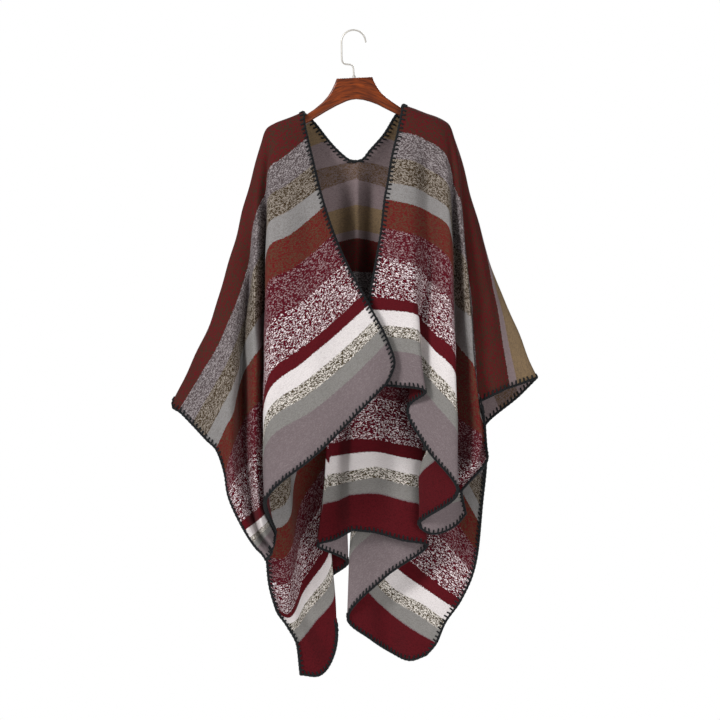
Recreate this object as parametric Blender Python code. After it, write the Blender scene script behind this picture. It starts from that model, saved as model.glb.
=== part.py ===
"""Ruana on a wooden hanger.

One woven rectangle with a slit from the middle of the front hem to its centre,
hung over a shaped wooden bar.  The cloth is drawn as a flat rectangle with two
coordinates: 'run', the distance from the shoulder line (negative to the front
hem, positive to the back hem), and a row of fold lines from the slit to the
side edge.  Each table row is one section of the cloth at one run.
"""
import bpy
import bmesh
import math
import numpy as np
from mathutils import Vector

for old in list(bpy.data.objects):
    bpy.data.objects.remove(old, do_unlink=True)

# ---------------------------------------------------------------- sizes ----
UNIT = 0.0021            # one drawing unit in metres; all tables are in units
HOOK_X, HOOK_Z = 353.0, 31.0   # drawing place of the rod contact, the origin
WALL = 0.0028            # napped cloth
DEPTH = 1.35             # depth of the folds, against the tables
SEAM_GAP = 0.0003        # between cloth pieces
FRONT_LEN = 285.0        # shoulder line to front hem, 0.60 m
BACK_LEN = 428.0         # shoulder line to back hem, 0.90 m
SLIT_END = 62.0          # the slit runs this far past the shoulder line
WOOD_THICK = 0.012
WOOD_BEVEL = 0.0045
WIRE_R = 0.00175

FRONT_ROWS = 18
BACK_ROWS = 25
COLS_PER_FOLD = 3

# ------------------------------------------------------- section tables ----
# Each row: run, then (right, down, depth) of each fold line, slit to side edge.
# Left half, front: slit edge, swell, swell foot, turned fold, recess,
#                   inner ridge, valley, outer ridge, side edge
LEFT_FRONT = [
    (-285, (388, 381, -22), (357, 413, -26), (318, 452, -28), (268, 496, -24), (275, 536, 11), (273, 547, -2), (271, 552, 4), (269, 556, -6), (266, 559, -5)),
    (-268, (394, 363, -22), (354, 400, -27), (316, 432, -29), (268.5, 467, -26), (273, 532, 11), (270, 541, -4), (268, 546, 4), (265, 550, -6), (262, 553, -6)),
    (-250, (388, 343, -22), (351, 380, -26), (314, 411, -29), (269, 442, -27), (271, 527, 10), (266, 536, -6), (263, 541, 5), (260, 545, -6), (257, 548, -6)),
    (-209, (369, 306, -20), (336, 336, -24), (304, 363, -27), (269.5, 392, -27), (268.5, 506, 8), (261, 518, -10), (254, 524, 5), (249, 527, -7), (245, 530, -7)),
    (-156, (346, 263, -17), (320, 288, -21), (296, 308, -25), (270, 325, -26), (267, 438, 5), (256, 453, -14), (244, 467, 3), (235, 480, -11), (228.5, 493, -8)),
    (-127, (334, 235, -15), (312, 256, -19), (291, 272, -23), (270, 284, -24), (267, 392, 5), (256, 406, -16), (241, 427, 2), (233, 448, -13), (226, 476, -8)),
    (-98, (325, 208, -13), (306, 225, -17), (288, 239, -21), (270.5, 249, -22), (266.5, 338, 3), (257, 355, -17), (242, 380, 1), (233, 415, -16), (217, 449, -9)),
    (-82, (320, 191, -12), (303, 204, -16), (287, 216, -19), (270.5, 226, -20), (266, 308, 2), (255, 330, -17), (243, 352, 0), (235, 385, -18), (207, 439, -10)),
    (-56, (314, 166, -10), (299, 178, -14), (285, 189, -16), (271, 198, -17), (266, 245, 1), (256, 268, -16), (246, 312, 0), (229, 362, -18), (193, 424, -10)),
    (-30, (308, 140, -8), (296, 150, -11), (283, 161, -13), (271, 170, -13), (266, 195, -6), (257, 216, -10), (248, 270, -6), (221, 343, -12), (180, 411, -8)),
    (-12, (304.3, 122, -6.5), (294, 127, -8), (284, 132, -8.5), (275, 137, -8), (268, 145, -7), (260, 163, -7), (245, 225, -6), (214, 327, -7), (173.5, 407, -5)),
    (-5, (303.8, 114.5, -4.8), (294, 118, -5), (284, 122, -5), (276, 126, -5), (268, 131.5, -5), (261, 150, -4.5), (244, 212, -4), (210, 325, -4), (173, 404, -3)),
]
LEFT_SHOULDER = (0, (303.5, 112.2, 0), (294, 116.2, 0), (284, 120.6, 0), (275, 124.6, 0), (267, 129.6, 0), (261, 144, 0), (245, 205, 0), (211, 322, 0), (174, 400, 0))
# Left half, back: slit edge then centre line, swell, centre panel's fold,
#                  inner fold, hidden turn, corner fold, valley, ridge, side edge
LEFT_BACK = [
    (5, (307, 116, 4.8), (297, 119, 5), (287, 123.5, 5), (277, 128, 5), (269, 134, 5), (262, 149, 4.5), (246, 209, 4), (213, 324, 4), (177, 402, 3)),
    (12, (312, 120, 6.5), (302, 124, 8), (292, 129, 8.5), (282, 134, 8.5), (273, 141, 8), (264, 157, 8), (249, 216, 7), (216, 328, 7), (182, 405, 6)),
    (42, (331, 143, 9), (317, 147, 12), (303, 153, 13), (291, 161, 13), (280, 172, 13), (268, 192, 12), (253, 245, 12), (223, 340, 12), (195, 413, 10)),
    (52, (343, 154.8, 9.5), (327, 158, 12.9), (309.1, 162.2, 13.6), (295.5, 171, 14.5), (282.3, 183.4, 14.7), (269.1, 204.6, 14), (254.7, 256.5, 13.7), (226, 345.7, 13.7), (199.7, 417.4, 11.2)),
    (59, (351, 159.8, 9.9), (333.2, 163.8, 13.6), (313.2, 168.8, 13.9), (298.3, 178, 15.6), (283.6, 191.6, 15.7), (269.7, 213.4, 15.5), (255.7, 264.7, 14.7), (228.2, 350.2, 14.7), (202.8, 420.8, 11.8)),
    (62, (357, 160.5, 10), (334, 165, 14), (314, 171, 14), (299, 181, 16), (284, 195, 16), (270, 217, 16), (256, 268, 15), (229, 352, 15), (204, 422, 12)),
    (106, (357, 205, 12), (337, 209, 23), (319, 216, 15), (303, 227, 22), (287, 243, 18), (273, 264, 22), (258, 310, 18), (238, 378, 18), (217, 436, 13)),
    (140, (357, 239, 12), (336, 243, 25), (320, 250, 15), (309, 262, 26), (293, 282, 20), (280, 302, 27), (264, 346, 19), (246, 408, 23), (228, 455, 15)),
    (174, (356, 273, 13), (335, 278, 25), (321, 286, 15), (315, 300, 28), (299, 321, 24), (292, 338, 31), (273, 382, 24), (258, 442, 27), (238, 475, 17)),
    (225, (355, 324, 13), (335, 330, 25), (323, 340, 16), (326, 353, 31), (309, 378, 35), (315, 397, 33), (293, 452, 40), (284, 508, 27), (256, 518, 19)),
    (271, (353, 370, 14), (336, 375, 24), (325, 384, 17), (335, 398, 33), (316, 425, 44), (329, 457, 34), (300, 508, 46), (284, 562, 27), (266, 560, 20)),
    (300, (353, 400, 14), (337, 405, 24), (326, 413, 18), (339, 428, 33), (318, 455, 45), (329, 493, 35), (301, 540, 46), (286, 588, 28), (268, 583, 22)),
    (340, (352, 441, 15), (338, 444, 24), (326, 447.5, 19), (342, 470, 34), (320, 500, 45), (329, 541, 36), (301, 588, 44), (287, 618, 29), (275, 611, 24)),
    (369, (350, 474, 15), (337, 477, 23), (324, 480, 20), (344, 500, 34), (321, 528, 45), (330.5, 572, 36), (304, 611, 42), (294, 626, 30), (286, 629, 26)),
    (394, (350, 497, 16), (336, 504, 23), (321, 508, 21), (346, 527, 34), (323, 553, 45), (334, 602, 37), (314, 629, 40), (304, 641, 31), (296.5, 649, 28)),
    (428, (352, 531, 16), (335, 541, 23), (316.5, 547, 22), (347, 565, 34), (325, 588, 45), (336.5, 634, 37), (332.5, 662, 39), (319, 679.5, 31), (300, 678.5, 28)),
]
# Right half, front: slit edge, front fold, tuck, swell, turned fold, recess,
#                    sleeve ridge, sleeve tuck, outer strip, side edge
RIGHT_FRONT = [
    (-285, (375, 384, -13), (425, 391, -21), (407, 408, -8), (426, 447, -15), (457, 491, -17), (419, 525, 8), (431, 534, 8), (445, 532, 9), (458, 524, 8), (466, 514, 6)),
    (-250, (370, 350, -12), (420, 358, -21), (411, 375, -7), (432, 402, -16), (456, 436, -19), (419, 480, 7), (433, 502, 5), (445, 506, 6), (456, 503, 6), (463, 501, 4)),
    (-209, (368.5, 310, -12), (416, 316, -20), (417, 329, -6), (433, 350, -17), (454, 374, -20), (431, 455, 6), (442, 476, 2), (450, 486, 2), (457, 490, 0), (461, 491, -2)),
    (-196, (370, 297, -12), (414.5, 304, -19), (418, 314, -4), (434, 334, -17), (453, 352, -20), (440, 463, 6), (452, 480, 0), (457, 484, -1), (461, 486, -3), (465, 486, -4)),
    (-156, (377, 257, -12), (413, 265, -18), (428, 280, -5), (441, 292, -17), (450, 303, -19), (456, 452, 6), (476, 461, -11), (480, 461, -5), (484, 460, -5), (487, 458, -6)),
    (-127, (381.5, 229, -11), (413, 236, -16), (428, 242, -5), (441, 252, -16), (449.5, 263, -18), (457, 414, 5), (480, 434, -14), (474, 437, 2), (478, 441, 1), (486, 446, -2)),
    (-98, (384.5, 201, -11), (413, 207, -14), (428, 213, -5), (441, 221, -14), (449, 231, -16), (455, 338, 4), (474, 370, -15), (470, 380, 2), (474, 400, 1), (485, 428, 0)),
    (-82, (387.5, 185, -10), (413, 190, -13), (428, 197, -5), (441, 205, -13), (448, 213, -15), (455, 305, 3), (470, 321, -15), (467, 336, 1), (471, 372, 0), (484, 420, 0)),
    (-56, (391.5, 160, -9), (413, 163, -11), (427, 170, -5), (440, 178, -11), (447.5, 187, -12), (454, 245, 2), (465, 262, -14), (465, 282, -1), (471, 342, -2), (482, 409, -2)),
    (-30, (397.5, 134, -8), (414, 137, -9), (427, 143, -9), (439, 150, -10), (447, 160, -10), (453, 184, -6), (460, 204, -10), (463, 228, -5), (471, 302, -6), (478, 403, -7)),
    (-12, (401.5, 115, -6.5), (415, 119, -8), (427, 124, -8.5), (437, 128, -8.5), (445, 134, -8), (451, 146, -7), (457, 165, -7), (461, 190, -5), (481, 285, -6), (494, 394, -7)),
    (-5, (402.6, 107.5, -4.8), (415.5, 111.5, -5), (427, 116, -5), (436.5, 119.5, -5), (444, 124, -5), (450, 130, -5), (455.5, 146, -4.5), (459.5, 168, -4), (485, 276, -5), (500.5, 391, -6)),
]
RIGHT_SHOULDER = (0, (403, 105.2, 0), (416, 109.9, 0), (427, 113.9, 0), (436, 117, 0), (444, 121, 0), (449, 125, 0), (453.5, 136, 0), (459, 154, 0), (486, 268, -3), (505, 388.5, -5))
# Right half, back: slit edge then centre line, swell, swell, centre panel's
#                   fold, turned layer, inner fold, corner swell x3, side edge
RIGHT_BACK = [
    (5, (400.5, 109.5, 4.8), (413, 113, 5), (425, 117, 5), (434, 120, 5), (442, 124, 5), (447.5, 129, 5), (452.5, 141, 4.5), (459.5, 158, 3), (489, 268, -1), (510, 387, -3)),
    (12, (396.5, 114, 6.5), (409, 118.5, 8), (421, 122, 8.5), (430.5, 125.5, 8.5), (438.5, 130, 8), (445, 135, 8), (451.5, 147, 7), (459, 166, 5), (491.5, 272, 1), (516.5, 385, -1)),
    (36, (384, 134, 8.5), (397, 138, 11), (408, 142, 12), (417, 147, 12), (425, 153, 12), (432, 160, 12), (440, 173, 12), (452, 196, 10), (497, 285, 6), (537, 377.5, 3)),
    (50, (370, 149.8, 9.4), (383.6, 153, 12.5), (396.8, 157, 13.9), (408.5, 161.8, 13.7), (417.8, 168.5, 14.2), (426.2, 177.2, 14.7), (436.1, 192.2, 14.8), (451.3, 220.1, 13.4), (489.5, 301.8, 10.1), (529.5, 385.4, 6.1)),
    (59, (361.8, 159.2, 9.8), (375.2, 161.6, 13.6), (390.8, 165.8, 14.8), (404.5, 171, 14.7), (414.5, 178.7, 15.5), (423.5, 188.5, 16.5), (434.4, 205, 16.5), (451.1, 236.2, 15.4), (482.6, 314.4, 12.5), (521.4, 393.7, 7.7)),
    (62, (357, 160.5, 10), (374, 163, 14), (390, 168, 15), (404, 174, 15), (414, 182, 16), (423, 192, 17), (434, 209, 17), (451, 241, 16), (481, 318, 13), (519, 396, 8)),
    (106, (357, 205, 12), (371, 207, 22), (387, 211, 16), (402, 217, 19), (411, 227, 23), (419, 240, 24), (431, 262, 24), (450, 302, 22), (467, 362, 17), (485, 426, 10)),
    (140, (357, 239, 12), (371, 241, 23), (387, 245, 17), (404, 251, 20), (405, 262, 27), (406, 277, 30), (423, 300, 29), (446, 336, 26), (464, 386, 21), (479, 443, 13)),
    (174, (356, 273, 13), (371, 274, 23), (389, 279, 16), (407, 286, 20), (398, 300, 29), (390, 319, 33), (413, 346, 33), (441, 380, 31), (464, 420, 26), (487, 463, 18)),
    (225, (355, 324, 13), (373, 325, 23), (393, 330, 15), (413, 337, 20), (392, 354, 31), (371, 381, 36), (404, 413, 37), (436, 443, 41), (463, 475, 29), (483, 511, 24)),
    (271, (353, 370, 14), (375, 371, 21), (396, 375, 14), (418, 381, 19), (389, 400, 30), (361, 431, 35), (399, 467, 38), (428, 495, 43), (455, 522, 33), (478.5, 556, 28)),
    (300, (353, 400, 14), (376, 400, 20), (398, 404, 13), (421, 410, 18), (387, 430, 30), (357, 461, 34), (394, 499, 38), (420, 524, 44), (448, 548, 35), (474, 577, 30)),
    (340, (352, 441, 15), (376, 441.5, 19), (400, 446, 13), (424, 452, 18), (384, 470, 29), (353, 503, 34), (384, 542, 37), (409, 565, 44), (437, 587, 36), (462, 604, 33)),
    (369, (350, 474, 15), (376, 470, 19), (400, 475, 13), (424, 482, 18), (380, 506, 29), (351, 537, 33), (374, 573, 37), (396, 597, 44), (424, 611, 36), (446, 627, 33)),
    (394, (350, 497, 16), (376, 496, 19), (401, 502, 13), (425, 510, 18), (379, 534, 29), (349, 565, 32), (368, 597, 37), (388, 617, 44), (413, 635, 36), (437, 648, 34)),
    (428, (352, 531, 16), (377, 534, 19), (402, 541, 13), (427, 547, 18), (385, 580, 29), (347.5, 622, 32), (370, 643, 37), (392, 658, 44), (411, 665, 36), (427, 660, 35)),
]

# Hanger outline: right, down, from the neck's left corner round the right arm
WOOD_TOP_RIGHT = [(372.4, 77.0), (377.8, 88), (387, 98), (402.3, 108.4), (420, 115.4), (436, 121.2), (446, 127.0)]
WOOD_UNDER = [(446, 131.5), (430, 126.5), (412, 120.5), (397, 114.5), (385.4, 108.7), (370.1, 101.8), (356.3, 99.2),
              (347.1, 101), (325.7, 111.8), (311.9, 120.2), (296, 128.5), (280, 135.5), (270, 138.5)]
WOOD_TOP_LEFT = [(270, 134.0), (280, 127.2), (290, 122.4), (304.5, 115.8), (322.7, 102.3), (331.8, 90), (336.7, 78.6)]


def place(spot):
    right, down, depth = spot
    return np.array([(right - HOOK_X) * UNIT, depth * UNIT * DEPTH, (HOOK_Z - down) * UNIT])


def slope_limited(knots, values):
    """Slopes that never overshoot between the table's rows."""
    n = len(knots)
    step = [(values[i + 1] - values[i]) / (knots[i + 1] - knots[i]) for i in range(n - 1)]
    out = [step[0].copy()]
    for i in range(1, n - 1):
        a, b = step[i - 1], step[i]
        same = (a * b) > 0
        out.append(np.where(same, 2 * a * b / np.where(same, a + b, 1.0), 0.0))
    out.append(step[-1].copy())
    return out


def hermite(knots, values, slopes, t):
    i = 0
    while i < len(knots) - 2 and t > knots[i + 1]:
        i += 1
    h = knots[i + 1] - knots[i]
    s = (t - knots[i]) / h
    return ((2 * s ** 3 - 3 * s ** 2 + 1) * values[i] + (s ** 3 - 2 * s ** 2 + s) * h * slopes[i]
            + (-2 * s ** 3 + 3 * s ** 2) * values[i + 1] + (s ** 3 - s ** 2) * h * slopes[i + 1])


def section(folds, cols):
    """One section: a smooth curve through its fold points, cols steps per fold."""
    gap = [max(np.linalg.norm(folds[i + 1] - folds[i]), 1e-5) ** 0.5 for i in range(len(folds) - 1)]
    knots = [0.0]
    for g in gap:
        knots.append(knots[-1] + g)
    n = len(folds)
    slopes = []
    for i in range(n):
        if i == 0:
            slopes.append((folds[1] - folds[0]) / gap[0])
        elif i == n - 1:
            slopes.append((folds[-1] - folds[-2]) / gap[-1])
        else:
            a = (folds[i] - folds[i - 1]) / gap[i - 1]
            b = (folds[i + 1] - folds[i]) / gap[i]
            slopes.append((a * gap[i] + b * gap[i - 1]) / (gap[i - 1] + gap[i]))
    line = []
    for i in range(n - 1):
        for j in range(cols):
            t = knots[i] + gap[i] * j / cols
            line.append(hermite(knots, folds, slopes, t + 1e-12))
    line.append(folds[-1].copy())
    return line


class Half:
    """Half of the cloth: any run from front hem to back hem gives a section."""

    def __init__(self, front, shoulder, back):
        rows = list(front) + [shoulder] + list(back)
        self.runs = [float(r[0]) for r in rows]
        self.values = [np.array([place(p) for p in r[1:]]) for r in rows]
        self.slopes = slope_limited(self.runs, self.values)

    def at(self, run):
        return section(list(hermite(self.runs, self.values, self.slopes, run)), COLS_PER_FOLD)


def grid_normals(grid):
    g = np.array(grid)
    du = np.gradient(g, axis=1)
    dv = np.gradient(g, axis=0)
    n = np.cross(du, dv)
    return n / np.maximum(np.linalg.norm(n, axis=2, keepdims=True), 1e-9)


def make_material(name, colour, rough, metal=0.0):
    mat = bpy.data.materials.new(name)
    mat.use_nodes = True
    bsdf = mat.node_tree.nodes["Principled BSDF"]
    bsdf.inputs["Base Color"].default_value = (*colour, 1.0)
    bsdf.inputs["Roughness"].default_value = rough
    bsdf.inputs["Metallic"].default_value = metal
    return mat


def finish(name, bm, mat):
    bmesh.ops.recalc_face_normals(bm, faces=bm.faces[:])
    if bm.calc_volume(signed=True) < 0:
        bmesh.ops.reverse_faces(bm, faces=bm.faces[:])
    mesh = bpy.data.meshes.new(name)
    bm.to_mesh(mesh)
    bm.free()
    obj = bpy.data.objects.new(name, mesh)
    bpy.context.collection.objects.link(obj)
    mesh.materials.append(mat)
    return obj


def wall(name, verts, normals, quads, mat):
    """Closed cloth wall, half its thickness to each side of the middle face."""
    bm = bmesh.new()
    outer = [bm.verts.new(Vector(v + n * WALL / 2)) for v, n in zip(verts, normals)]
    inner = [bm.verts.new(Vector(v - n * WALL / 2)) for v, n in zip(verts, normals)]
    seen = {}
    for q in quads:
        for k in range(4):
            a, b = q[k], q[(k + 1) % 4]
            seen[(min(a, b), max(a, b))] = seen.get((min(a, b), max(a, b)), 0) + 1
    for q in quads:
        bm.faces.new([outer[i] for i in q])
        bm.faces.new([inner[i] for i in reversed(q)])
        for k in range(4):
            a, b = q[k], q[(k + 1) % 4]
            if seen[(min(a, b), max(a, b))] == 1:
                bm.faces.new([outer[b], outer[a], inner[a], inner[b]])
    bmesh.ops.triangulate(bm, faces=bm.faces[:])
    return finish(name, bm, mat)


left = Half(LEFT_FRONT, LEFT_SHOULDER, LEFT_BACK)
right = Half(RIGHT_FRONT, RIGHT_SHOULDER, RIGHT_BACK)
half_gap = SEAM_GAP / UNIT / 2

front_runs = [-FRONT_LEN + FRONT_LEN * i / FRONT_ROWS for i in range(FRONT_ROWS)]
front_runs = [r for r in front_runs if r < -18] + [-12.0, -5.0]
slit_runs = [5.0, 12.0, 29.0, 44.0, 54.0, 59.0, SLIT_END]
below = BACK_ROWS - len(slit_runs)
back_runs = slit_runs + [SLIT_END + (BACK_LEN - SLIT_END) * i / below for i in range(1, below + 1)]
all_runs = front_runs + [0.0] + back_runs
zero = len(front_runs)
slit_row = zero + len(slit_runs)          # row index where the slit ends


def grids(half):
    pts = [half.at(r) for r in all_runs]
    return np.array(pts)


left_grid, right_grid = grids(left), grids(right)
right_grid[slit_row:, 0] = left_grid[slit_row:, 0]
left_n, right_n = grid_normals(left_grid), -grid_normals(right_grid)
for r in range(slit_row, len(all_runs)):
    mid = left_n[r, 0] + right_n[r, 0]
    mid /= np.linalg.norm(mid)
    left_n[r, 0] = right_n[r, 0] = mid


def seam_row(half, side):
    return np.array(half.at(side * half_gap))


def front_piece(name, half, grid, normals, mat):
    g = np.concatenate([grid[:zero], seam_row(half, -1)[None]], axis=0)
    n = np.concatenate([normals[:zero], normals[zero][None]], axis=0)
    rows, cols = g.shape[:2]
    quads = [(r * cols + c, r * cols + c + 1, (r + 1) * cols + c + 1, (r + 1) * cols + c)
             for r in range(rows - 1) for c in range(cols - 1)]
    return wall(name, list(g.reshape(-1, 3)), list(n.reshape(-1, 3)), quads, mat)


def back_piece(name, half, grid, normals, side, mat):
    """One half of the back: a hair's breadth short of the centre line, which
    the cloth's own slit opens only down to SLIT_END."""
    g = np.concatenate([seam_row(half, 1)[None], grid[zero + 1:]], axis=0)
    n = normals[zero:]
    g[slit_row - zero:, 0, 0] += side * SEAM_GAP / 2
    rows, cols = g.shape[:2]
    quads = [(r * cols + c, r * cols + c + 1, (r + 1) * cols + c + 1, (r + 1) * cols + c)
             for r in range(rows - 1) for c in range(cols - 1)]
    return wall(name, list(g.reshape(-1, 3)), list(n.reshape(-1, 3)), quads, mat)


def wood_bar(name, mat):
    bm = bmesh.new()
    outline = WOOD_TOP_RIGHT + WOOD_UNDER + WOOD_TOP_LEFT
    ring = [bm.verts.new(Vector(place((r, d, 0))) - Vector((0, WOOD_THICK / 2, 0))) for r, d in outline]
    face = bm.faces.new(ring)
    back = bmesh.ops.extrude_face_region(bm, geom=[face])
    bmesh.ops.translate(bm, verts=[v for v in back["geom"] if isinstance(v, bmesh.types.BMVert)],
                        vec=(0, WOOD_THICK, 0))
    bmesh.ops.recalc_face_normals(bm, faces=bm.faces[:])
    rims = [e for e in bm.edges if len(e.link_faces) == 2 and e.calc_face_angle() > math.radians(60)
            and abs(e.verts[0].co.y - e.verts[1].co.y) < 1e-6]
    bmesh.ops.bevel(bm, geom=rims, offset=WOOD_BEVEL, segments=2, profile=0.5, affect='EDGES', clamp_overlap=True)
    bmesh.ops.triangulate(bm, faces=bm.faces[:])
    return finish(name, bm, mat)


def hook_path():
    """Wire centre line: shank, kink to the left, riser, round arc, short tail."""
    foot = [(354.0, 77.2), (353.6, 71.5), (353.0, 67.0), (351.2, 64.9), (348.0, 64.4), (344.8, 63.9), (342.6, 62.0),
            (341.8, 58.5), (341.6, 52.0), (341.5, 45.0)]
    centre, radius = (353.5, 42.0), 12.0
    arc = [(centre[0] - radius * math.cos(math.radians(a)), centre[1] - radius * math.sin(math.radians(a)))
           for a in range(5, 171, 15)]
    return foot + arc + [(365.8, 42.5)]


def wire(name, mat):
    pts = [Vector(place((r, d, 0))) for r, d in hook_path()]
    curve = bpy.data.curves.new(name, 'CURVE')
    curve.dimensions = '3D'
    curve.bevel_depth = WIRE_R
    curve.bevel_resolution = 2
    curve.use_fill_caps = True
    spline = curve.splines.new('POLY')
    spline.points.add(len(pts) - 1)
    for p, co in zip(spline.points, pts):
        p.co = (*co, 1.0)
    obj = bpy.data.objects.new(name, curve)
    bpy.context.collection.objects.link(obj)
    curve.materials.append(mat)
    return obj


cloth_red = make_material("cloth_red", (0.16, 0.04, 0.04), 0.95)
cloth_grey = make_material("cloth_grey", (0.30, 0.27, 0.28), 0.95)
front_piece("front_left", left, left_grid, left_n, cloth_red)
front_piece("front_right", right, right_grid, right_n, cloth_red)
back_piece("back_left", left, left_grid, left_n, -1, cloth_grey)
back_piece("back_right", right, right_grid, right_n, 1, cloth_grey)
wood_bar("hanger_wood", make_material("stained_wood", (0.20, 0.06, 0.02), 0.4))
wire("hanger_hook", make_material("bright_wire", (0.75, 0.75, 0.76), 0.2, 1.0))
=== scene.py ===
"""Looks of the ruana on its wooden hanger: one striped, napped cloth with
blanket-stitched edges, a lacquered wooden bar and a bent wire hook."""
import bpy
import math
import numpy as np
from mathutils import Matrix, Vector


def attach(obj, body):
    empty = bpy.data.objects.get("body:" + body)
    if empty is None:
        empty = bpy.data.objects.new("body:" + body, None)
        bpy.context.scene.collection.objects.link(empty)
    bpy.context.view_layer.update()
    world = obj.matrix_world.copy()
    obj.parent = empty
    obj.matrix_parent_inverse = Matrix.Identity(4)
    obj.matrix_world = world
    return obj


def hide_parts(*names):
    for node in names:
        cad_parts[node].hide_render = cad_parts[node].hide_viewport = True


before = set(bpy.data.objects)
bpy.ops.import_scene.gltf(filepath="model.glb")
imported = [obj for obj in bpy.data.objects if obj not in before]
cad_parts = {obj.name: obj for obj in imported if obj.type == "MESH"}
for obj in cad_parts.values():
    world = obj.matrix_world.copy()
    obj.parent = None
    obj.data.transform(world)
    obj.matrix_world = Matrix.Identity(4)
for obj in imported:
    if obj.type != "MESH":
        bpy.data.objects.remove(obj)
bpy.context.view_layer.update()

# ---------------------------------------------------------------- sizes ----
UNIT = 0.0021
HOOK_X, HOOK_Z = 353.0, 31.0
WALL = 0.0027
DEPTH = 1.35
FRONT_LEN, BACK_LEN, SLIT_END = 285.0, 428.0, 62.0
CUT_LENGTH = (FRONT_LEN + BACK_LEN) * UNIT        # 1.50 m
COL_STEP, ROW_STEP = 3.1, 3.7                      # mesh steps, drawing units
YARN_R = 0.0027          # edge cord
TOOTH_R = 0.0018         # stitch across the edge
TOOTH_LEN = 0.0086
TOOTH_PITCH = 0.0094

# Section tables, as the solids have them: run, then (right, down, depth) of
# each fold line from the slit to the side edge.
LEFT_FRONT = [
    (-285, (388, 381, -22), (357, 413, -26), (318, 452, -28), (268, 496, -24), (275, 536, 11), (273, 547, -2), (271, 552, 4), (269, 556, -6), (266, 559, -5)),
    (-268, (394, 363, -22), (354, 400, -27), (316, 432, -29), (268.5, 467, -26), (273, 532, 11), (270, 541, -4), (268, 546, 4), (265, 550, -6), (262, 553, -6)),
    (-250, (388, 343, -22), (351, 380, -26), (314, 411, -29), (269, 442, -27), (271, 527, 10), (266, 536, -6), (263, 541, 5), (260, 545, -6), (257, 548, -6)),
    (-209, (369, 306, -20), (336, 336, -24), (304, 363, -27), (269.5, 392, -27), (268.5, 506, 8), (261, 518, -10), (254, 524, 5), (249, 527, -7), (245, 530, -7)),
    (-156, (346, 263, -17), (320, 288, -21), (296, 308, -25), (270, 325, -26), (267, 438, 5), (256, 453, -14), (244, 467, 3), (235, 480, -11), (228.5, 493, -8)),
    (-127, (334, 235, -15), (312, 256, -19), (291, 272, -23), (270, 284, -24), (267, 392, 5), (256, 406, -16), (241, 427, 2), (233, 448, -13), (226, 476, -8)),
    (-98, (325, 208, -13), (306, 225, -17), (288, 239, -21), (270.5, 249, -22), (266.5, 338, 3), (257, 355, -17), (242, 380, 1), (233, 415, -16), (217, 449, -9)),
    (-82, (320, 191, -12), (303, 204, -16), (287, 216, -19), (270.5, 226, -20), (266, 308, 2), (255, 330, -17), (243, 352, 0), (235, 385, -18), (207, 439, -10)),
    (-56, (314, 166, -10), (299, 178, -14), (285, 189, -16), (271, 198, -17), (266, 245, 1), (256, 268, -16), (246, 312, 0), (229, 362, -18), (193, 424, -10)),
    (-30, (308, 140, -8), (296, 150, -11), (283, 161, -13), (271, 170, -13), (266, 195, -6), (257, 216, -10), (248, 270, -6), (221, 343, -12), (180, 411, -8)),
    (-12, (304.3, 122, -6.5), (294, 127, -8), (284, 132, -8.5), (275, 137, -8), (268, 145, -7), (260, 163, -7), (245, 225, -6), (214, 327, -7), (173.5, 407, -5)),
    (-5, (303.8, 114.5, -4.8), (294, 118, -5), (284, 122, -5), (276, 126, -5), (268, 131.5, -5), (261, 150, -4.5), (244, 212, -4), (210, 325, -4), (173, 404, -3)),
]
LEFT_SHOULDER = (0, (303.5, 112.2, 0), (294, 116.2, 0), (284, 120.6, 0), (275, 124.6, 0), (267, 129.6, 0), (261, 144, 0), (245, 205, 0), (211, 322, 0), (174, 400, 0))
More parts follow.
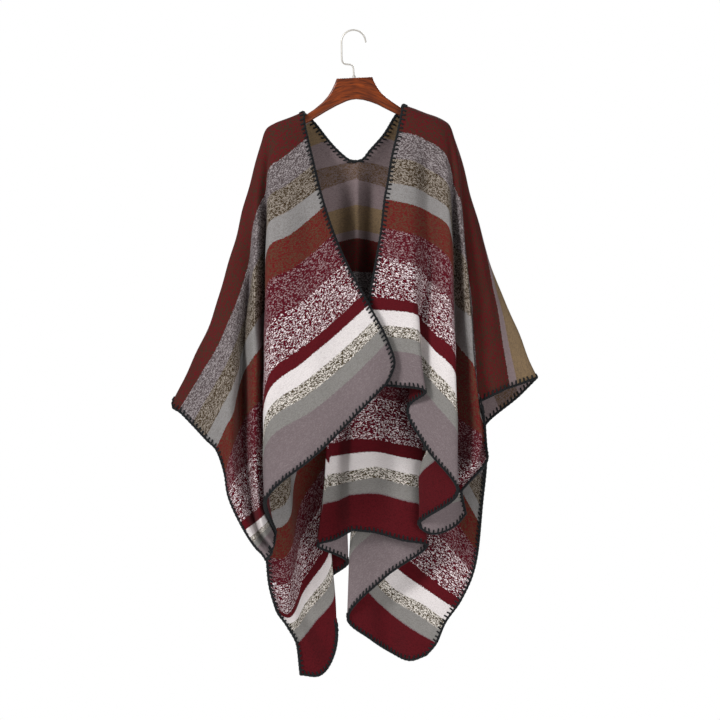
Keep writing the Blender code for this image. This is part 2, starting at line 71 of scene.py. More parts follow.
LEFT_BACK = [
    (5, (307, 116, 4.8), (297, 119, 5), (287, 123.5, 5), (277, 128, 5), (269, 134, 5), (262, 149, 4.5), (246, 209, 4), (213, 324, 4), (177, 402, 3)),
    (12, (312, 120, 6.5), (302, 124, 8), (292, 129, 8.5), (282, 134, 8.5), (273, 141, 8), (264, 157, 8), (249, 216, 7), (216, 328, 7), (182, 405, 6)),
    (42, (331, 143, 9), (317, 147, 12), (303, 153, 13), (291, 161, 13), (280, 172, 13), (268, 192, 12), (253, 245, 12), (223, 340, 12), (195, 413, 10)),
    (52, (343, 154.8, 9.5), (327, 158, 12.9), (309.1, 162.2, 13.6), (295.5, 171, 14.5), (282.3, 183.4, 14.7), (269.1, 204.6, 14), (254.7, 256.5, 13.7), (226, 345.7, 13.7), (199.7, 417.4, 11.2)),
    (59, (351, 159.8, 9.9), (333.2, 163.8, 13.6), (313.2, 168.8, 13.9), (298.3, 178, 15.6), (283.6, 191.6, 15.7), (269.7, 213.4, 15.5), (255.7, 264.7, 14.7), (228.2, 350.2, 14.7), (202.8, 420.8, 11.8)),
    (62, (357, 160.5, 10), (334, 165, 14), (314, 171, 14), (299, 181, 16), (284, 195, 16), (270, 217, 16), (256, 268, 15), (229, 352, 15), (204, 422, 12)),
    (106, (357, 205, 12), (337, 209, 23), (319, 216, 15), (303, 227, 22), (287, 243, 18), (273, 264, 22), (258, 310, 18), (238, 378, 18), (217, 436, 13)),
    (140, (357, 239, 12), (336, 243, 25), (320, 250, 15), (309, 262, 26), (293, 282, 20), (280, 302, 27), (264, 346, 19), (246, 408, 23), (228, 455, 15)),
    (174, (356, 273, 13), (335, 278, 25), (321, 286, 15), (315, 300, 28), (299, 321, 24), (292, 338, 31), (273, 382, 24), (258, 442, 27), (238, 475, 17)),
    (225, (355, 324, 13), (335, 330, 25), (323, 340, 16), (326, 353, 31), (309, 378, 35), (315, 397, 33), (293, 452, 40), (284, 508, 27), (256, 518, 19)),
    (271, (353, 370, 14), (336, 375, 24), (325, 384, 17), (335, 398, 33), (316, 425, 44), (329, 457, 34), (300, 508, 46), (284, 562, 27), (266, 560, 20)),
    (300, (353, 400, 14), (337, 405, 24), (326, 413, 18), (339, 428, 33), (318, 455, 45), (329, 493, 35), (301, 540, 46), (286, 588, 28), (268, 583, 22)),
    (340, (352, 441, 15), (338, 444, 24), (326, 447.5, 19), (342, 470, 34), (320, 500, 45), (329, 541, 36), (301, 588, 44), (287, 618, 29), (275, 611, 24)),
    (369, (350, 474, 15), (337, 477, 23), (324, 480, 20), (344, 500, 34), (321, 528, 45), (330.5, 572, 36), (304, 611, 42), (294, 626, 30), (286, 629, 26)),
    (394, (350, 497, 16), (336, 504, 23), (321, 508, 21), (346, 527, 34), (323, 553, 45), (334, 602, 37), (314, 629, 40), (304, 641, 31), (296.5, 649, 28)),
    (428, (352, 531, 16), (335, 541, 23), (316.5, 547, 22), (347, 565, 34), (325, 588, 45), (336.5, 634, 37), (332.5, 662, 39), (319, 679.5, 31), (300, 678.5, 28)),
]
RIGHT_FRONT = [
    (-285, (375, 384, -13), (425, 391, -21), (407, 408, -8), (426, 447, -15), (457, 491, -17), (419, 525, 8), (431, 534, 8), (445, 532, 9), (458, 524, 8), (466, 514, 6)),
    (-250, (370, 350, -12), (420, 358, -21), (411, 375, -7), (432, 402, -16), (456, 436, -19), (419, 480, 7), (433, 502, 5), (445, 506, 6), (456, 503, 6), (463, 501, 4)),
    (-209, (368.5, 310, -12), (416, 316, -20), (417, 329, -6), (433, 350, -17), (454, 374, -20), (431, 455, 6), (442, 476, 2), (450, 486, 2), (457, 490, 0), (461, 491, -2)),
    (-196, (370, 297, -12), (414.5, 304, -19), (418, 314, -4), (434, 334, -17), (453, 352, -20), (440, 463, 6), (452, 480, 0), (457, 484, -1), (461, 486, -3), (465, 486, -4)),
    (-156, (377, 257, -12), (413, 265, -18), (428, 280, -5), (441, 292, -17), (450, 303, -19), (456, 452, 6), (476, 461, -11), (480, 461, -5), (484, 460, -5), (487, 458, -6)),
    (-127, (381.5, 229, -11), (413, 236, -16), (428, 242, -5), (441, 252, -16), (449.5, 263, -18), (457, 414, 5), (480, 434, -14), (474, 437, 2), (478, 441, 1), (486, 446, -2)),
    (-98, (384.5, 201, -11), (413, 207, -14), (428, 213, -5), (441, 221, -14), (449, 231, -16), (455, 338, 4), (474, 370, -15), (470, 380, 2), (474, 400, 1), (485, 428, 0)),
    (-82, (387.5, 185, -10), (413, 190, -13), (428, 197, -5), (441, 205, -13), (448, 213, -15), (455, 305, 3), (470, 321, -15), (467, 336, 1), (471, 372, 0), (484, 420, 0)),
    (-56, (391.5, 160, -9), (413, 163, -11), (427, 170, -5), (440, 178, -11), (447.5, 187, -12), (454, 245, 2), (465, 262, -14), (465, 282, -1), (471, 342, -2), (482, 409, -2)),
    (-30, (397.5, 134, -8), (414, 137, -9), (427, 143, -9), (439, 150, -10), (447, 160, -10), (453, 184, -6), (460, 204, -10), (463, 228, -5), (471, 302, -6), (478, 403, -7)),
    (-12, (401.5, 115, -6.5), (415, 119, -8), (427, 124, -8.5), (437, 128, -8.5), (445, 134, -8), (451, 146, -7), (457, 165, -7), (461, 190, -5), (481, 285, -6), (494, 394, -7)),
    (-5, (402.6, 107.5, -4.8), (415.5, 111.5, -5), (427, 116, -5), (436.5, 119.5, -5), (444, 124, -5), (450, 130, -5), (455.5, 146, -4.5), (459.5, 168, -4), (485, 276, -5), (500.5, 391, -6)),
]
RIGHT_SHOULDER = (0, (403, 105.2, 0), (416, 109.9, 0), (427, 113.9, 0), (436, 117, 0), (444, 121, 0), (449, 125, 0), (453.5, 136, 0), (459, 154, 0), (486, 268, -3), (505, 388.5, -5))
RIGHT_BACK = [
    (5, (400.5, 109.5, 4.8), (413, 113, 5), (425, 117, 5), (434, 120, 5), (442, 124, 5), (447.5, 129, 5), (452.5, 141, 4.5), (459.5, 158, 3), (489, 268, -1), (510, 387, -3)),
    (12, (396.5, 114, 6.5), (409, 118.5, 8), (421, 122, 8.5), (430.5, 125.5, 8.5), (438.5, 130, 8), (445, 135, 8), (451.5, 147, 7), (459, 166, 5), (491.5, 272, 1), (516.5, 385, -1)),
    (36, (384, 134, 8.5), (397, 138, 11), (408, 142, 12), (417, 147, 12), (425, 153, 12), (432, 160, 12), (440, 173, 12), (452, 196, 10), (497, 285, 6), (537, 377.5, 3)),
    (50, (370, 149.8, 9.4), (383.6, 153, 12.5), (396.8, 157, 13.9), (408.5, 161.8, 13.7), (417.8, 168.5, 14.2), (426.2, 177.2, 14.7), (436.1, 192.2, 14.8), (451.3, 220.1, 13.4), (489.5, 301.8, 10.1), (529.5, 385.4, 6.1)),
    (59, (361.8, 159.2, 9.8), (375.2, 161.6, 13.6), (390.8, 165.8, 14.8), (404.5, 171, 14.7), (414.5, 178.7, 15.5), (423.5, 188.5, 16.5), (434.4, 205, 16.5), (451.1, 236.2, 15.4), (482.6, 314.4, 12.5), (521.4, 393.7, 7.7)),
    (62, (357, 160.5, 10), (374, 163, 14), (390, 168, 15), (404, 174, 15), (414, 182, 16), (423, 192, 17), (434, 209, 17), (451, 241, 16), (481, 318, 13), (519, 396, 8)),
    (106, (357, 205, 12), (371, 207, 22), (387, 211, 16), (402, 217, 19), (411, 227, 23), (419, 240, 24), (431, 262, 24), (450, 302, 22), (467, 362, 17), (485, 426, 10)),
    (140, (357, 239, 12), (371, 241, 23), (387, 245, 17), (404, 251, 20), (405, 262, 27), (406, 277, 30), (423, 300, 29), (446, 336, 26), (464, 386, 21), (479, 443, 13)),
    (174, (356, 273, 13), (371, 274, 23), (389, 279, 16), (407, 286, 20), (398, 300, 29), (390, 319, 33), (413, 346, 33), (441, 380, 31), (464, 420, 26), (487, 463, 18)),
    (225, (355, 324, 13), (373, 325, 23), (393, 330, 15), (413, 337, 20), (392, 354, 31), (371, 381, 36), (404, 413, 37), (436, 443, 41), (463, 475, 29), (483, 511, 24)),
    (271, (353, 370, 14), (375, 371, 21), (396, 375, 14), (418, 381, 19), (389, 400, 30), (361, 431, 35), (399, 467, 38), (428, 495, 43), (455, 522, 33), (478.5, 556, 28)),
    (300, (353, 400, 14), (376, 400, 20), (398, 404, 13), (421, 410, 18), (387, 430, 30), (357, 461, 34), (394, 499, 38), (420, 524, 44), (448, 548, 35), (474, 577, 30)),
    (340, (352, 441, 15), (376, 441.5, 19), (400, 446, 13), (424, 452, 18), (384, 470, 29), (353, 503, 34), (384, 542, 37), (409, 565, 44), (437, 587, 36), (462, 604, 33)),
    (369, (350, 474, 15), (376, 470, 19), (400, 475, 13), (424, 482, 18), (380, 506, 29), (351, 537, 33), (374, 573, 37), (396, 597, 44), (424, 611, 36), (446, 627, 33)),
    (394, (350, 497, 16), (376, 496, 19), (401, 502, 13), (425, 510, 18), (379, 534, 29), (349, 565, 32), (368, 597, 37), (388, 617, 44), (413, 635, 36), (437, 648, 34)),
    (428, (352, 531, 16), (377, 534, 19), (402, 541, 13), (427, 547, 18), (385, 580, 29), (347.5, 622, 32), (370, 643, 37), (392, 658, 44), (411, 665, 36), (427, 660, 35)),
]

# Stripes of the weave from either hem to the centre of the cloth:
# name, width in drawing units, ground colour, fleck colour, fleck share
STRIPES = [
    ("hem", 35, (116, 104, 106), (128, 116, 118), 0.30),
    ("sage", 15, (134, 131, 128), (124, 121, 117), 0.35),
    ("beige white", 10, (222, 215, 207), (78, 68, 52), 0.52),
    ("white", 16, (225, 218, 217), (214, 206, 205), 0.25),
    ("dark red", 13, (88, 17, 25), (78, 15, 22), 0.30),
    ("wine white", 40, (84, 11, 26), (250, 240, 242), 0.25),
    ("wine lilac", 29, (82, 15, 27), (158, 135, 138), 0.23),
    ("rust", 29, (102, 24, 26), (86, 60, 44), 0.44),
    ("light grey", 17, (140, 137, 136), (128, 124, 122), 0.35),
    ("beige", 25, (150, 140, 130), (66, 53, 38), 0.55),
    ("lilac grey", 26, (82, 72, 73), (154, 146, 147), 0.36),
    ("brown red", 34, (92, 20, 26), (58, 44, 32), 0.44),
    ("lilac line", 9, (132, 116, 117), (124, 109, 110), 0.30),
    ("olive", 25, (128, 107, 81), (112, 94, 74), 0.35),
    ("lilac", 21, (129, 114, 115), (118, 103, 104), 0.32),
    ("centre mix", 22, (90, 69, 51), (110, 95, 93), 0.50),
]
HEM_INSIDE = ((84, 17, 24), (72, 14, 20))         # hem band on the wrong face


def place(spot):
    right, down, depth = spot
    return np.array([(right - HOOK_X) * UNIT, depth * UNIT * DEPTH, (HOOK_Z - down) * UNIT])


def slope_limited(knots, values):
    n = len(knots)
    step = [(values[i + 1] - values[i]) / (knots[i + 1] - knots[i]) for i in range(n - 1)]
    out = [step[0].copy()]
    for i in range(1, n - 1):
        a, b = step[i - 1], step[i]
        same = (a * b) > 0
        out.append(np.where(same, 2 * a * b / np.where(same, a + b, 1.0), 0.0))
    out.append(step[-1].copy())
    return out


def hermite(knots, values, slopes, t):
    i = 0
    while i < len(knots) - 2 and t > knots[i + 1]:
        i += 1
    h = knots[i + 1] - knots[i]
    s = (t - knots[i]) / h
    return ((2 * s ** 3 - 3 * s ** 2 + 1) * values[i] + (s ** 3 - 2 * s ** 2 + s) * h * slopes[i]
            + (-2 * s ** 3 + 3 * s ** 2) * values[i + 1] + (s ** 3 - s ** 2) * h * slopes[i + 1])


def section(folds, steps):
    gap = [max(np.linalg.norm(folds[i + 1] - folds[i]), 1e-5) ** 0.5 for i in range(len(folds) - 1)]
    knots = [0.0]
    for g in gap:
        knots.append(knots[-1] + g)
    n = len(folds)
    slopes = []
    for i in range(n):
        if i == 0:
            slopes.append((folds[1] - folds[0]) / gap[0])
        elif i == n - 1:
            slopes.append((folds[-1] - folds[-2]) / gap[-1])
        else:
            a = (folds[i] - folds[i - 1]) / gap[i - 1]
            b = (folds[i + 1] - folds[i]) / gap[i]
            slopes.append((a * gap[i] + b * gap[i - 1]) / (gap[i - 1] + gap[i]))
    line = []
    for i in range(n - 1):
        for j in range(steps[i]):
            t = knots[i] + gap[i] * j / steps[i]
            line.append(hermite(knots, folds, slopes, t + 1e-12))
    line.append(folds[-1].copy())
    return line


class Half:
    def __init__(self, front, shoulder, back):
        rows = list(front) + [shoulder] + list(back)
        self.runs = [float(r[0]) for r in rows]
        self.values = [np.array([place(p) for p in r[1:]]) for r in rows]
        self.slopes = slope_limited(self.runs, self.values)
        span = np.mean([[np.linalg.norm(v[i + 1] - v[i]) for i in range(len(v) - 1)] for v in self.values], axis=0)
        self.steps = [max(5, int(round(s / UNIT / COL_STEP))) for s in span]
        # fold coordinate of each mesh column: 2.5 is halfway from fold 2 to 3
        self.fold = [i + j / n for i, n in enumerate(self.steps) for j in range(n)] + [float(len(self.steps))]

    def at(self, run):
        return section(list(hermite(self.runs, self.values, self.slopes, run)), self.steps)


def run_list():
    runs = list(np.linspace(-FRONT_LEN, -12, int(273 / ROW_STEP)))
    runs += [-9.5, -7, -4.5, -2.2, 0, 2.2, 4.5, 7, 9.5, 12]
    runs += list(np.linspace(12, 50, 11))[1:] + [53, 55.5, 57.5, 59, 60.2, 61.2, SLIT_END]
    runs += list(np.linspace(SLIT_END, BACK_LEN, int((BACK_LEN - SLIT_END) / ROW_STEP)))[1:]
    return [float(r) for r in runs]


def grid_normals(g):
    n = np.cross(np.gradient(g, axis=1), np.gradient(g, axis=0))
    return n / np.maximum(np.linalg.norm(n, axis=2, keepdims=True), 1e-9)


RUNS = run_list()
SLIT_ROW = min(range(len(RUNS)), key=lambda i: abs(RUNS[i] - SLIT_END))
left = Half(LEFT_FRONT, LEFT_SHOULDER, LEFT_BACK)
right = Half(RIGHT_FRONT, RIGHT_SHOULDER, RIGHT_BACK)
grid_l = np.array([left.at(r) for r in RUNS])
grid_r = np.array([right.at(r) for r in RUNS])
grid_r[SLIT_ROW:, 0] = grid_l[SLIT_ROW:, 0]


# Soft creases pressed into the cloth, besides the folds of the tables:
# half, (fold, run) where it starts and ends, half width and rise in metres
CREASES = [
    ("left", (0.6, -62), (1.7, -205), 0.022, -0.0028),
    ("left", (1.8, -28), (2.4, -150), 0.018, 0.0022),
    ("left", (1.2, -165), (2.3, -279), 0.027, 0.0034),
    ("left", (2.6, -190), (1.9, -255), 0.016, -0.0020),
    ("left", (6.6, -22), (6.0, -120), 0.018, -0.0026),
    ("left", (7.4, -14), (7.2, -118), 0.023, 0.0030),
    ("left", (0.7, 78), (0.9, 236), 0.020, 0.0030),
    ("left", (4.4, 40), (4.8, 190), 0.017, -0.0022),
    ("left", (6.4, 28), (6.8, 244), 0.028, -0.0038),
    ("left", (7.4, 58), (7.2, 330), 0.024, 0.0032),
    ("left", (3.5, 246), (3.6, 422), 0.016, 0.0024),
    ("left", (1.5, 318), (1.3, 427), 0.020, 0.0030),
    ("left", (5.6, 322), (5.4, 426), 0.017, -0.0024),
    ("right", (0.9, -66), (1.5, -188), 0.019, -0.0026),
    ("right", (2.3, -40), (2.9, -170), 0.014, 0.0016),
    ("right", (3.4, -210), (3.6, -282), 0.020, 0.0026),
    ("right", (8.3, -12), (8.7, -84), 0.026, 0.0028),
    ("right", (8.2, 34), (8.1, 262), 0.030, -0.0040),
    ("right", (7.3, 26), (7.5, 296), 0.024, 0.0032),
    ("right", (1.4, 90), (1.2, 250), 0.018, -0.0022),
    ("right", (8.5, 248), (8.4, 421), 0.022, -0.0032),
    ("right", (7.4, 300), (7.6, 427), 0.019, 0.0026),
    ("right", (2.5, 205), (2.4, 418), 0.020, 0.0028),
    ("right", (5.5, 330), (5.7, 426), 0.018, 0.0026),
]


def press_creases(name, grid, half, sign):
    """Push the grid along its normals, most at mid-length of each crease."""
    seg = np.linalg.norm(np.diff(grid, axis=1), axis=2)
    arm = np.concatenate([np.zeros((grid.shape[0], 1)), np.cumsum(seg, axis=1)], axis=1)
    fold = np.array(half.fold)
    run = np.array(RUNS)[:, None]
    # broad, shallow unevenness of a soft cloth, in metres
    rise = 0.0009 * np.sin(arm * 37.0 + run * 0.021 + sign) + 0.0007 * np.sin(arm * 61.0 - run * 0.047 + 2.1 * sign)
    for side, (f0, r0), (f1, r1), wide, high in CREASES:
        if side != name:
            continue
        for r, at in enumerate(RUNS):
            t = (at - r0) / (r1 - r0)
            if 0.0 < t < 1.0:
                mid = np.interp(f0 + (f1 - f0) * t, fold, arm[r])
                rise[r] += high * math.sin(math.pi * t) ** 0.8 * np.exp(-((arm[r] - mid) / wide) ** 2)
    rise *= 1.0 - np.exp(-(arm / 0.028) ** 2)
    return grid + grid_normals(grid) * (rise * sign)[:, :, None]


grid_l = press_creases("left", grid_l, left, -1.0)
grid_r = press_creases("right", grid_r, right, 1.0)


def join_normals():
    nl, nr = -grid_normals(grid_l), grid_normals(grid_r)       # out of the right side
    mid = nl[SLIT_ROW:, 0] + nr[SLIT_ROW:, 0]
    mid /= np.linalg.norm(mid, axis=1, keepdims=True)
    nl[SLIT_ROW:, 0] = mid
    nr[SLIT_ROW:, 0] = mid
    return nl, nr


norm_l, norm_r = join_normals()


def arm_lengths(g):
    seg = np.linalg.norm(np.diff(g, axis=1), axis=2)
    return np.concatenate([np.zeros((g.shape[0], 1)), np.cumsum(seg, axis=1)], axis=1)


arm_l, arm_r = -arm_lengths(grid_l), arm_lengths(grid_r)


# ------------------------------------------------------------- mesh tools ---
def new_object(name, verts, faces, smooth=True):
    mesh = bpy.data.meshes.new(name)
    mesh.from_pydata([tuple(v) for v in verts], [], faces)
    mesh.update()
    if smooth:
        mesh.shade_smooth()
    obj = bpy.data.objects.new(name, mesh)
    bpy.context.collection.objects.link(obj)
    return obj


def build_cloth():
    verts, normals, cut, quads, index = [], [], [], [], {}
    sides = ((grid_l, norm_l, arm_l), (grid_r, norm_r, arm_r))

    def vertex(side, r, c):
        if side == 1 and c == 0 and r >= SLIT_ROW:
            side = 0
        key = (side, r, c)
        if key not in index:
            g, n, a = sides[side]
            index[key] = len(verts)
            verts.append(g[r, c])
            normals.append(n[r, c])
            cut.append((a[r, c], (RUNS[r] + FRONT_LEN) * UNIT))
        return index[key]

    for side in (0, 1):
        rows, cols = sides[side][0].shape[:2]
        for r in range(rows - 1):
            for c in range(cols - 1):
                q = (vertex(side, r, c), vertex(side, r, c + 1), vertex(side, r + 1, c + 1), vertex(side, r + 1, c))
                quads.append(q[::-1] if side == 0 else q)
    v, n = np.array(verts), np.array(normals)
    count = len(v)
    edge_use = {}
    for q in quads:
        for k in range(4):
            a, b = q[k], q[(k + 1) % 4]
            key = (min(a, b), max(a, b))
            edge_use[key] = edge_use.get(key, 0) + 1
    faces = [tuple(q) for q in quads] + [tuple(i + count for i in reversed(q)) for q in quads]
    for q in quads:
        for k in range(4):
            a, b = q[k], q[(k + 1) % 4]
            if edge_use[(min(a, b), max(a, b))] == 1:
                faces.append((b, a, a + count, b + count))
    all_v = np.concatenate([v + n * WALL / 2, v - n * WALL / 2])
    obj = new_object("ruana_cloth", all_v, faces)
    data = np.zeros((count * 2, 3))
    data[:count, :2] = cut
    data[count:, :2] = cut
    data[count:, 2] = 1.0
    attr = obj.data.attributes.new("cut", 'FLOAT_VECTOR', 'POINT')
    attr.data.foreach_set("vector", data.ravel())
    return obj


# ------------------------------------------------------------- materials ---
def lin(rgb):
    out = []
    for c in rgb:
        c /= 255.0
        out.append(c / 12.92 if c <= 0.04045 else ((c + 0.055) / 1.055) ** 2.4)
    return (*out, 1.0)


class Nodes:
    """A short hand for building a material's node tree."""

    def __init__(self, name):
        self.mat = bpy.data.materials.new(name)
        self.mat.use_nodes = True
        self.tree = self.mat.node_tree
        self.bsdf = self.tree.nodes["Principled BSDF"]

    def add(self, kind, **props):
        node = self.tree.nodes.new(kind)
        for k, v in props.items():
            setattr(node, k, v)
        return node

    def link(self, a, b):
        self.tree.links.new(a, b)

    def put(self, socket, value):
        if hasattr(value, "is_linked"):
            self.link(value, socket)
        else:
            socket.default_value = value

    def math(self, op, a, b=0.0, c=0.0, clamp=False):
        node = self.add("ShaderNodeMath", operation=op, use_clamp=clamp)
        self.put(node.inputs[0], a)
        self.put(node.inputs[1], b)
        if len(node.inputs) > 2:
            self.put(node.inputs[2], c)
        return node.outputs[0]

    def mix(self, fac, a, b, blend='MIX'):
        node = self.add("ShaderNodeMix", data_type='RGBA', blend_type=blend)
        self.put(node.inputs[0], fac)
        self.put(node.inputs[6], a)
        self.put(node.inputs[7], b)
        return node.outputs[2]

    def xyz(self, x, y, z=0.0):
        node = self.add("ShaderNodeCombineXYZ")
        for s, v in zip(node.inputs, (x, y, z)):
            self.put(s, v)
        return node.outputs[0]

    def noise(self, vector, scale, detail=2.0, rough=0.5, distortion=0.0):
        node = self.add("ShaderNodeTexNoise")
        self.link(vector, node.inputs["Vector"])
        node.inputs["Scale"].default_value = scale
        node.inputs["Detail"].default_value = detail
        node.inputs["Roughness"].default_value = rough
        node.inputs["Distortion"].default_value = distortion
        return node.outputs["Fac"]

    def cells(self, vector, scale):
        node = self.add("ShaderNodeTexVoronoi", feature='F1')
        self.link(vector, node.inputs["Vector"])
        node.inputs["Scale"].default_value = scale
        split = self.add("ShaderNodeSeparateColor")
        self.link(node.outputs["Color"], split.inputs[0])
        return split.outputs[0], node.outputs["Distance"]

    def bands(self, fac, rows):
        """Stepped colour ramp: rows are (start, colour)."""
        node = self.add("ShaderNodeValToRGB")
        node.color_ramp.interpolation = 'CONSTANT'
        ramp = node.color_ramp.elements
        while len(ramp) > 1:
            ramp.remove(ramp[-1])
        ramp[0].position, ramp[0].color = rows[0]
        for pos, col in rows[1:]:
            e = ramp.new(pos)
            e.color = col
        self.link(fac, node.inputs[0])
        return node.outputs[0]

    def bump(self, height, strength, distance, normal=None):
        node = self.add("ShaderNodeBump")
        node.inputs["Strength"].default_value = strength
        node.inputs["Distance"].default_value = distance
        self.link(height, node.inputs["Height"])
        if normal is not None:
            self.link(normal, node.inputs["Normal"])
        return node.outputs[0]


def cloth_material():
    n = Nodes("striped_napped_weave")
    attr = n.add("ShaderNodeAttribute", attribute_name="cut")
    split = n.add("ShaderNodeSeparateXYZ")
    n.link(attr.outputs["Vector"], split.inputs[0])
    arm, run, inside = split.outputs
    half = CUT_LENGTH / 2
    # uneven edge of each stripe: threads stray a millimetre or two
    stray_vec = n.xyz(n.math('MULTIPLY', arm, 1.0), n.math('MULTIPLY', run, 2.2))
    stray = n.noise(stray_vec, 300.0, 1.0)
    stray = n.math('MULTIPLY', n.math('SUBTRACT', stray, 0.5), 0.0062)
    from_hem = n.math('SUBTRACT', half, n.math('ABSOLUTE', n.math('SUBTRACT', run, half)))
    fac = n.math('DIVIDE', n.math('ADD', from_hem, stray), half, clamp=True)
    ground, fleck, share = [], [], []
    start = 0.0
    for name, width, g, f, s in STRIPES:
        ground.append((start, lin(g)))
        fleck.append((start, lin(f)))
        share.append((start, (s, s, s, 1.0)))
        start += width * UNIT / half
    ground_c = n.bands(fac, ground)
    fleck_c = n.bands(fac, fleck)
    share_v = n.bands(fac, share)
    is_hem = n.math('LESS_THAN', fac, STRIPES[0][1] * UNIT / half)
    swap = n.math('MULTIPLY', is_hem, n.math('GREATER_THAN', inside, 0.5))
    ground_c = n.mix(swap, ground_c, lin(HEM_INSIDE[0]))
    fleck_c = n.mix(swap, fleck_c, lin(HEM_INSIDE[1]))
    # flecks: short dashes along the stripe, in two sizes, different each face
    shift = n.math('MULTIPLY', inside, 7.3)
    warp = n.noise(n.xyz(arm, run), 210.0, 2.0)
    arm_w = n.math('ADD', arm, n.math('MULTIPLY', n.math('SUBTRACT', warp, 0.5), 0.003))
    dash_vec = n.xyz(n.math('MULTIPLY', arm_w, 0.46), run, shift)
    value, _ = n.cells(dash_vec, 860.0)
    small, _ = n.cells(n.xyz(n.math('MULTIPLY', arm, 0.6), n.math('ADD', run, 3.1), shift), 1500.0)
    value = n.math('ADD', n.math('MULTIPLY', value, 0.84), n.math('MULTIPLY', small, 0.16))
    fleck_on = n.add("ShaderNodeMapRange", interpolation_type='SMOOTHSTEP')
    n.link(n.math('SUBTRACT', share_v, n.math('SUBTRACT', value, 0.02)), fleck_on.inputs[0])
    fleck_on.inputs[1].default_value = -0.015
    fleck_on.inputs[2].default_value = 0.015
    colour = n.mix(fleck_on.outputs[0], ground_c, fleck_c)
    # nap: soft light and dark in the pile, and slow change over the cloth
    pile = n.noise(n.xyz(n.math('MULTIPLY', arm, 1.0), n.math('MULTIPLY', run, 0.6), shift), 900.0, 3.0, 0.7)
    slow = n.noise(n.xyz(arm, run, shift), 9.0, 3.0)
    tone = n.math('ADD', n.math('MULTIPLY', n.math('SUBTRACT', pile, 0.5), 1.3),
                  n.math('MULTIPLY', n.math('SUBTRACT', slow, 0.5), 0.22))
    tone = n.math('ADD', tone, 1.0)
    grey = n.xyz(tone, tone, tone)
    colour = n.mix(1.0, colour, grey, 'MULTIPLY')
    n.link(colour, n.bsdf.inputs["Base Color"])
    n.bsdf.inputs["Roughness"].default_value = 0.92
    n.bsdf.inputs["Specular IOR Level"].default_value = 0.08
    n.bsdf.inputs["Sheen Weight"].default_value = 0.04
    n.bsdf.inputs["Sheen Roughness"].default_value = 0.55
    height = n.math('ADD', n.math('MULTIPLY', pile, 0.7), n.math('MULTIPLY', value, 0.3))
    fine = n.bump(height, 0.55, 0.0012)
    broad = n.bump(n.noise(n.xyz(arm, run, shift), 38.0, 2.0), 0.25, 0.004, fine)
    n.link(broad, n.bsdf.inputs["Normal"])
    return n.mat


def yarn_material():
    n = Nodes("edge_yarn")
    coord = n.add("ShaderNodeTexCoord")
    fuzz = n.noise(coord.outputs["Object"], 900.0, 3.0, 0.7)
    colour = n.mix(fuzz, lin((8, 10, 11)), lin((30, 33, 36)))
    n.link(colour, n.bsdf.inputs["Base Color"])
    n.bsdf.inputs["Roughness"].default_value = 0.85
    n.bsdf.inputs["Sheen Weight"].default_value = 0.05
    n.bsdf.inputs["Specular IOR Level"].default_value = 0.25
    n.link(n.bump(fuzz, 0.7, 0.0008), n.bsdf.inputs["Normal"])
    return n.mat


def wood_material():
    n = Nodes("stained_wood")
    coord = n.add("ShaderNodeTexCoord")
    split = n.add("ShaderNodeSeparateXYZ")
    n.link(coord.outputs["Object"], split.inputs[0])
    x, y, z = split.outputs
    # the grain follows each arm, which falls away to both sides of the neck
    fall = n.math('MULTIPLY', n.math('SQRT', n.math('ADD', n.math('MULTIPLY', x, x), 0.0016)), 0.55)
    across = n.math('ADD', z, fall)
    vec = n.xyz(n.math('MULTIPLY', x, 0.10), n.math('MULTIPLY', y, 0.6), across)
    grain = n.noise(vec, 170.0, 4.0, 0.6, 1.2)
    pores = n.noise(n.xyz(n.math('MULTIPLY', x, 0.05), n.math('MULTIPLY', y, 0.8), across), 900.0, 2.0)
    ramp = n.add("ShaderNodeValToRGB")
    ramp.color_ramp.elements[0].position = 0.32
    ramp.color_ramp.elements[0].color = lin((54, 20, 8))
    ramp.color_ramp.elements[1].position = 0.66
    ramp.color_ramp.elements[1].color = lin((158, 70, 20))
    n.link(grain, ramp.inputs[0])
    colour = n.mix(n.math('MULTIPLY', pores, 0.35), ramp.outputs[0], lin((38, 12, 4)))
    # broad darker patches of uneven stain, weighted by painted shade that grows towards the right arm, so the left
    # arm stays almost clear
    stain_and_right_shade = n.math('MULTIPLY', n.noise(n.xyz(n.math('MULTIPLY', x, 0.45), y, across), 42.0, 2.0), n.math('ADD', n.math('MULTIPLY', x, 3.0), 0.95))
    # mix in the dark stain colour where the patches and the painted shade of the right arm reach
    colour = n.mix(n.math('MULTIPLY', n.math('SUBTRACT', stain_and_right_shade, 0.42), 2.2, clamp=True), colour, lin((66, 24, 10)))
    n.link(colour, n.bsdf.inputs["Base Color"])
    n.bsdf.inputs["Roughness"].default_value = 0.36
    n.bsdf.inputs["Coat Weight"].default_value = 0.15
    n.bsdf.inputs["Specular IOR Level"].default_value = 0.3
    n.bsdf.inputs["Coat Roughness"].default_value = 0.18
    n.link(n.bump(grain, 0.12, 0.0006), n.bsdf.inputs["Normal"])
    return n.mat


def wire_material():
    n = Nodes("hook_wire")
    coord = n.add("ShaderNodeTexCoord")
    rub = n.noise(coord.outputs["Object"], 260.0, 3.0)
    colour = n.mix(rub, lin((202, 197, 189)), lin((222, 218, 211)))
    n.link(colour, n.bsdf.inputs["Base Color"])
    n.bsdf.inputs["Metallic"].default_value = 0.45
    rough = n.add("ShaderNodeMapRange")
    n.link(rub, rough.inputs[0])
    rough.inputs[3].default_value = 0.34
    rough.inputs[4].default_value = 0.46
    n.link(rough.outputs[0], n.bsdf.inputs["Roughness"])
    return n.mat


